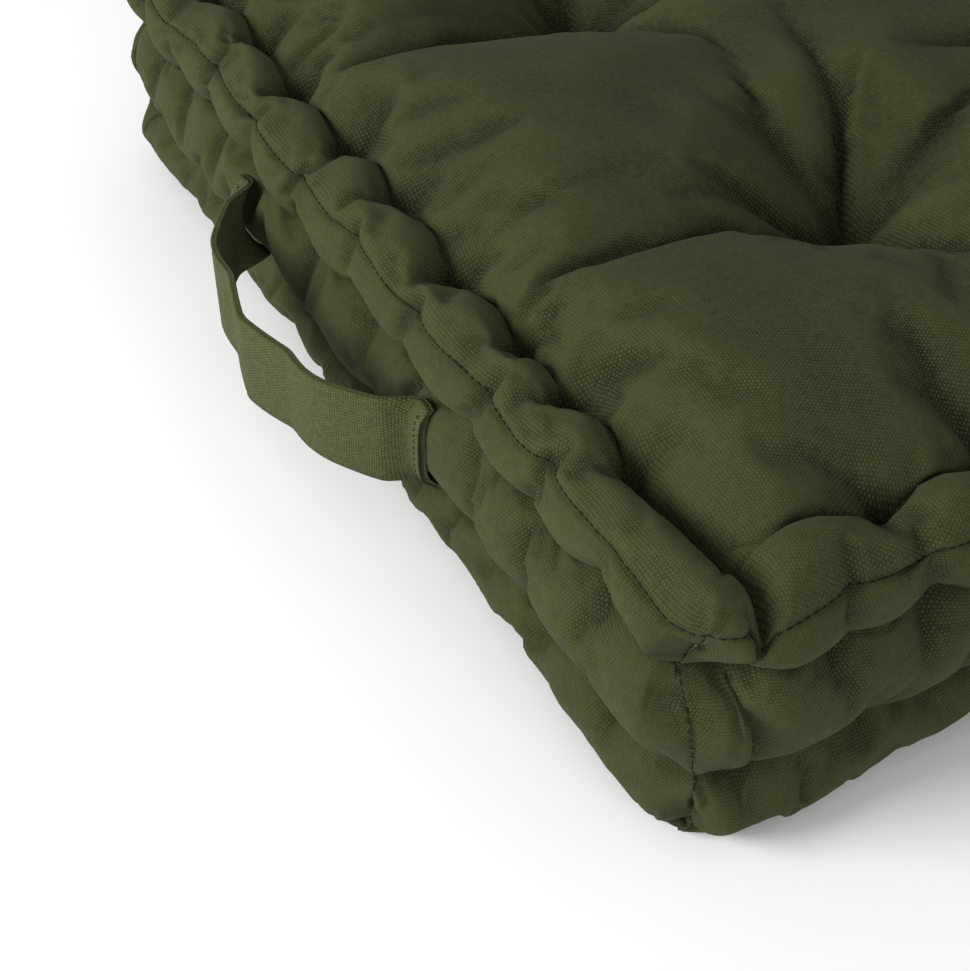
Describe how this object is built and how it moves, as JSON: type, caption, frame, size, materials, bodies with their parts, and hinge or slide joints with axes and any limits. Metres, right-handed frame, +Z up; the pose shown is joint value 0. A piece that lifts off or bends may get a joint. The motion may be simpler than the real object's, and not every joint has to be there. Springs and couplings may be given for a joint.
{
  "type": "floor cushion",
  "caption": "Square tufted box cushion in plain canvas, with stitched roll edges, a puffed border and a flat carrying strap on one side.",
  "frame": {"origin": "centre of the face the cushion rests on", "axes": "+Z up, out of the tufted seat; -Y out of the side that carries the strap; X along that side"},
  "size_m": [0.45, 0.4812, 0.112],
  "materials": {
    "canvas": "plain-weave cotton canvas, dull olive green",
    "filling": "loose off-white fibre wadding",
    "thread": "fine dark green sewing thread",
    "twine": "waxed dark green stitching twine"
  },
  "bodies": {
    "cushion": {"top_panel": "canvas", "bottom_panel": "canvas", "border_front": "canvas", "border_right": "canvas", "border_back": "canvas", "border_left": "canvas", "handle_end_right": "canvas", "handle_end_left": "canvas", "filling_core": "filling", "filling_top_layer": "filling", "filling_bottom_layer": "filling", "top_edge_roll_filling": "filling", "bottom_edge_roll_filling": "filling", "top_seam_thread": "thread", "bottom_seam_thread": "thread", "corner_seam_threads": "thread", "handle_stitching": "thread", "top_roll_twine": "twine", "bottom_roll_twine": "twine", "tuft_ties": "twine"},
    "handle": {"handle_strap": "canvas"}
  },
  "joints": [
    {"name": "handle_swing", "type": "hinge", "parent": "cushion", "child": "handle", "pos_m": [0, -0.237, 0.051], "axis": [1, 0, 0], "range_deg": [-40, 40], "stiffness_Nm_per_rad": 0.01}
  ]
}
